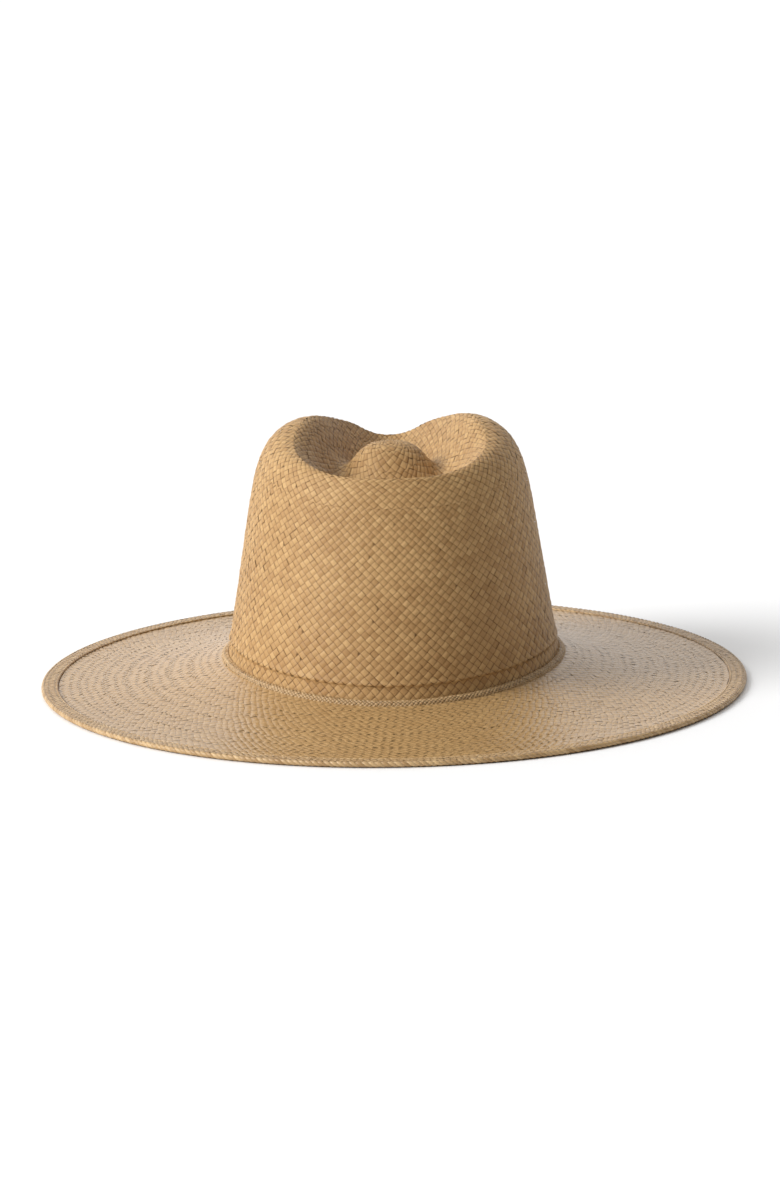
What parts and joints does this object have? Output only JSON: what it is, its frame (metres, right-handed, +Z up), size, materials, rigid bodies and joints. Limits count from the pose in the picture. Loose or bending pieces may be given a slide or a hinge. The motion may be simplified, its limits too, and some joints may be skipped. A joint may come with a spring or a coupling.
{
  "type": "panama hat",
  "caption": "Woven straw hat with a flat wide brim, a sunk teardrop crown top, a back-woven edge and a leather sweatband inside.",
  "frame": {"origin": "on the table under the middle of the brim, where the brim's edge rests", "axes": "+Z up, +Y to the front of the hat, +X to the wearer's right"},
  "size_m": [0.36, 0.398, 0.134],
  "materials": {
    "straw": "woven straw, satin",
    "leather": "smooth",
    "reed_plastic": "matte",
    "cotton_tape": "woven",
    "thread": "spun thread",
    "ribbon": "grosgrain",
    "label_satin": "satin"
  },
  "bodies": {
    "hat": {"crown_side": "straw", "crown_shoulder": "straw", "crown_top": "straw", "brim": "straw", "brim_edge": "straw", "break_cord": "straw", "sweatband": "leather", "reed": "reed_plastic", "reed_tape": "cotton_tape", "band_stitching": "thread", "seam_tape": "cotton_tape", "seam_stitching": "thread", "bow": "ribbon", "size_tab": "label_satin"},
    "label": {"care_label": "label_satin"}
  },
  "joints": [
    {"name": "care_label_fold", "type": "hinge", "parent": "hat", "child": "label", "pos_m": [0, -0.0914, 0.0459], "axis": [-1, 0, 0], "range_deg": [0, 140]}
  ]
}
